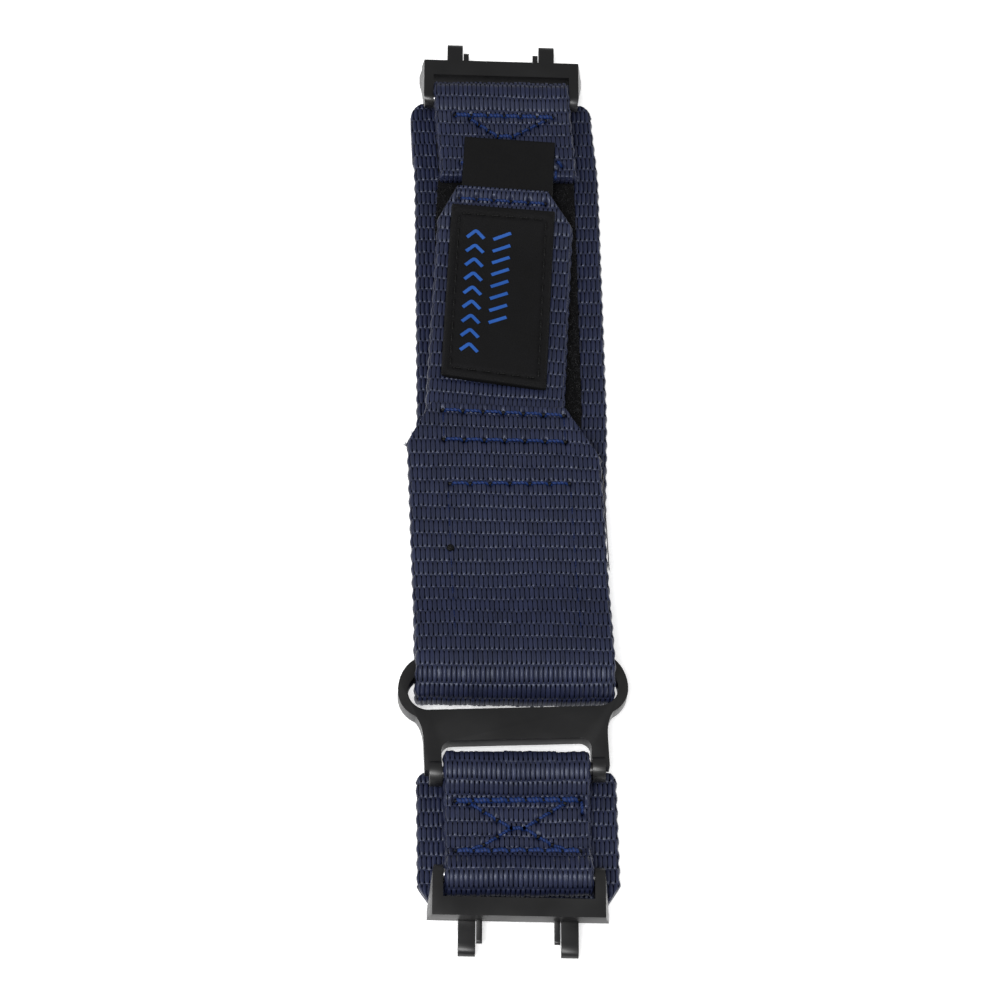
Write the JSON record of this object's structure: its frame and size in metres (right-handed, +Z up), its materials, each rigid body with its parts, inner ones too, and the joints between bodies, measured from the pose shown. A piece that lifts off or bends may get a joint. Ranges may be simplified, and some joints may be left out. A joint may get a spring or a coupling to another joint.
{
  "type": "fitness tracker band",
  "caption": "Hook-and-loop nylon band for a fitness tracker, with a ring buckle, a padded short strap and latching connectors.",
  "frame": {"origin": "on the surface the laid-out band lies on, under the middle of its length and width", "axes": "+Y along the band towards the top connector, +X across the band, +Z up through its layers"},
  "size_m": [0.0254, 0.1172, 0.0072],
  "materials": {
    "navy_webbing": "satin woven nylon",
    "loop_fastener": "matte napped loops",
    "hook_fastener": "matte",
    "label_leatherette": "fine grained matte",
    "smooth_tape": "smooth tape",
    "black_hardware": "satin black",
    "pin_steel": "satin",
    "dark_steel": "satin"
  },
  "bodies": {
    "strap": {"main_webbing": "navy_webbing", "loop_strip": "loop_fastener", "top_loop_webbing": "navy_webbing"},
    "closure_tab": {"flap_webbing_end": "navy_webbing", "closure_tab": "navy_webbing", "hook_patch": "hook_fastener", "label_patch": "label_leatherette", "pull_tab_root": "smooth_tape"},
    "pull_tab": {"pull_tab": "smooth_tape"},
    "buckle": {"buckle_frame": "black_hardware", "buckle_pin": "pin_steel"},
    "short_strap": {"short_webbing": "navy_webbing", "wrist_pad": "navy_webbing"},
    "top_connector": {"top_connector_body": "black_hardware", "top_connector_pin": "pin_steel", "top_latch_spring": "pin_steel", "top_latch_cover": "dark_steel"},
    "top_latch": {"top_latch_slider": "black_hardware"},
    "bottom_connector": {"bottom_connector_body": "black_hardware", "bottom_connector_pin": "pin_steel", "bottom_latch_spring": "pin_steel", "bottom_latch_cover": "dark_steel"},
    "bottom_latch": {"bottom_latch_slider": "black_hardware"}
  },
  "joints": [
    {"name": "tab_peel", "type": "hinge", "parent": "strap", "child": "closure_tab", "pos_m": [0, -0.00095, 0.0057], "axis": [1, 0, 0], "range_deg": [0, 110]},
    {"name": "pull_tab_lift", "type": "hinge", "parent": "closure_tab", "child": "pull_tab", "pos_m": [0.00039, 0.03597, 0.0054], "axis": [0.9978, -0.0663, 0], "range_deg": [0, 80]},
    {"name": "buckle_swing", "type": "hinge", "parent": "strap", "child": "buckle", "pos_m": [-0.00026, -0.0255, 0.0036], "axis": [-0.9996, -0.0279, 0], "range_deg": [-75, 75]},
    {"name": "short_strap_swing", "type": "hinge", "parent": "buckle", "child": "short_strap", "pos_m": [0.00008, -0.0376, 0.0035], "axis": [-0.9996, -0.0279, 0], "range_deg": [-25, 70]},
    {"name": "top_connector_swing", "type": "hinge", "parent": "strap", "child": "top_connector", "pos_m": [0, 0.0498, 0.0035], "axis": [0.9998, -0.0209, 0], "range_deg": [-25, 75]},
    {"name": "bottom_connector_swing", "type": "hinge", "parent": "short_strap", "child": "bottom_connector", "pos_m": [0, -0.0498, 0.0035], "axis": [-0.9998, 0.0209, 0], "range_deg": [-5, 75]},
    {"name": "top_latch_release", "type": "slide", "parent": "top_connector", "child": "top_latch", "axis": [-0.0209, -0.9998, 0], "range_m": [0, 0.0005], "stiffness_N_per_m": 1200, "springref_m": -0.0004, "deforming": ["top_latch_spring"]},
    {"name": "bottom_latch_release", "type": "slide", "parent": "bottom_connector", "child": "bottom_latch", "axis": [0.0209, 0.9998, 0], "range_m": [0, 0.0005], "stiffness_N_per_m": 1200, "springref_m": -0.0004, "deforming": ["bottom_latch_spring"]}
  ]
}
